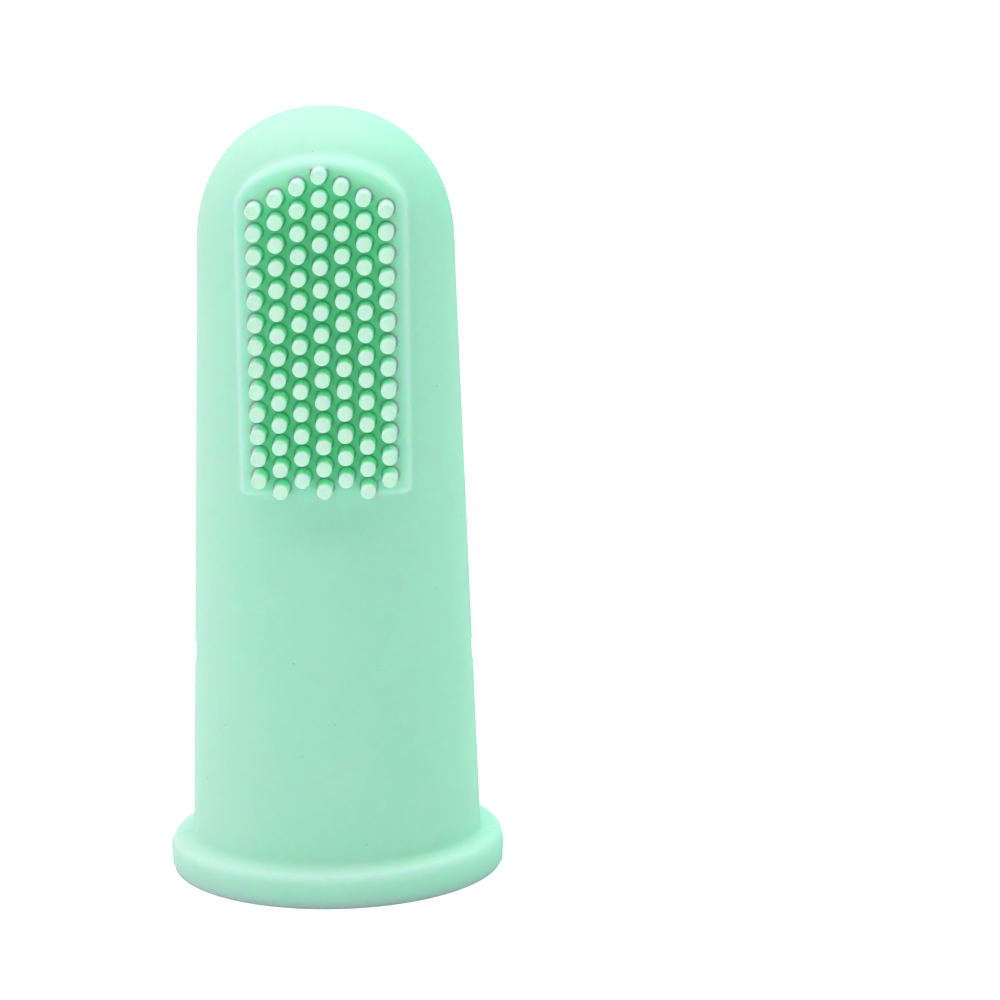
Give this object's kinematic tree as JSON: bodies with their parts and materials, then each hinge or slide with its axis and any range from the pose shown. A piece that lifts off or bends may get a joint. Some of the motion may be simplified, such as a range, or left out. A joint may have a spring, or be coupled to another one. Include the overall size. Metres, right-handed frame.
{
  "type": "pet finger toothbrush",
  "caption": "Soft domed finger-worn toothbrush for pets: tapered hollow sleeve with a rolled cuff, an arched pad of round bristles and rows of low massage nubs on the back.",
  "frame": {"origin": "on the sleeve's axis, at the plane of the cuff's foot", "axes": "+Z along the sleeve from its open mouth to its dome; the bristles face -Y and the massage nubs face +Y"},
  "size_m": [0.0242, 0.0242, 0.0549],
  "materials": {
    "body": "satin moulded silicone, mint green",
    "bristles": "satin moulded silicone, pale mint green"
  },
  "bodies": {
    "brush_body": {"finger_sleeve": "body", "mouth_cuff": "body", "brush_pad": "body", "massage_nub_1_far_left": "body", "massage_nub_1_left": "body", "massage_nub_1_right": "body", "massage_nub_1_far_right": "body", "massage_nub_2_far_left": "body", "massage_nub_2_left": "body", "massage_nub_2_right": "body", "massage_nub_2_far_right": "body", "massage_nub_3_far_left": "body", "massage_nub_3_left": "body", "massage_nub_3_right": "body", "massage_nub_3_far_right": "body", "massage_nub_4_far_left": "body", "massage_nub_4_left": "body", "massage_nub_4_right": "body", "massage_nub_4_far_right": "body"},
    "column_1": {"bristle_column_1": "bristles"},
    "column_2": {"bristle_column_2": "bristles"},
    "column_3": {"bristle_column_3": "bristles"},
    "column_4": {"bristle_column_4": "bristles"},
    "column_5": {"bristle_column_5": "bristles"},
    "column_6": {"bristle_column_6": "bristles"},
    "column_7": {"bristle_column_7": "bristles"}
  },
  "joints": [
    {"name": "column_1_flex", "type": "hinge", "parent": "brush_body", "child": "column_1", "pos_m": [-0.00447, -0.00894, 0.03943], "axis": [0, 0, 1], "range_deg": [-20, 20], "stiffness_Nm_per_rad": 0.0015},
    {"name": "column_2_flex", "type": "hinge", "parent": "brush_body", "child": "column_2", "pos_m": [-0.00298, -0.00894, 0.03943], "axis": [0, 0, 1], "range_deg": [-20, 20], "stiffness_Nm_per_rad": 0.0015},
    {"name": "column_3_flex", "type": "hinge", "parent": "brush_body", "child": "column_3", "pos_m": [-0.00149, -0.00894, 0.04019], "axis": [0, 0, 1], "range_deg": [-20, 20], "stiffness_Nm_per_rad": 0.0015},
    {"name": "column_4_flex", "type": "hinge", "parent": "brush_body", "child": "column_4", "pos_m": [0, -0.00894, 0.04019], "axis": [0, 0, 1], "range_deg": [-20, 20], "stiffness_Nm_per_rad": 0.0015},
    {"name": "column_5_flex", "type": "hinge", "parent": "brush_body", "child": "column_5", "pos_m": [0.00149, -0.00894, 0.04019], "axis": [0, 0, 1], "range_deg": [-20, 20], "stiffness_Nm_per_rad": 0.0015},
    {"name": "column_6_flex", "type": "hinge", "parent": "brush_body", "child": "column_6", "pos_m": [0.00298, -0.00894, 0.03943], "axis": [0, 0, 1], "range_deg": [-20, 20], "stiffness_Nm_per_rad": 0.0015},
    {"name": "column_7_flex", "type": "hinge", "parent": "brush_body", "child": "column_7", "pos_m": [0.00447, -0.00894, 0.03943], "axis": [0, 0, 1], "range_deg": [-20, 20], "stiffness_Nm_per_rad": 0.0015}
  ],
  "couplings": [
    {"joint": "column_1_flex", "follows": "column_4_flex", "ratio": 1},
    {"joint": "column_2_flex", "follows": "column_4_flex", "ratio": 1},
    {"joint": "column_3_flex", "follows": "column_4_flex", "ratio": 1},
    {"joint": "column_5_flex", "follows": "column_4_flex", "ratio": 1},
    {"joint": "column_6_flex", "follows": "column_4_flex", "ratio": 1},
    {"joint": "column_7_flex", "follows": "column_4_flex", "ratio": 1}
  ]
}
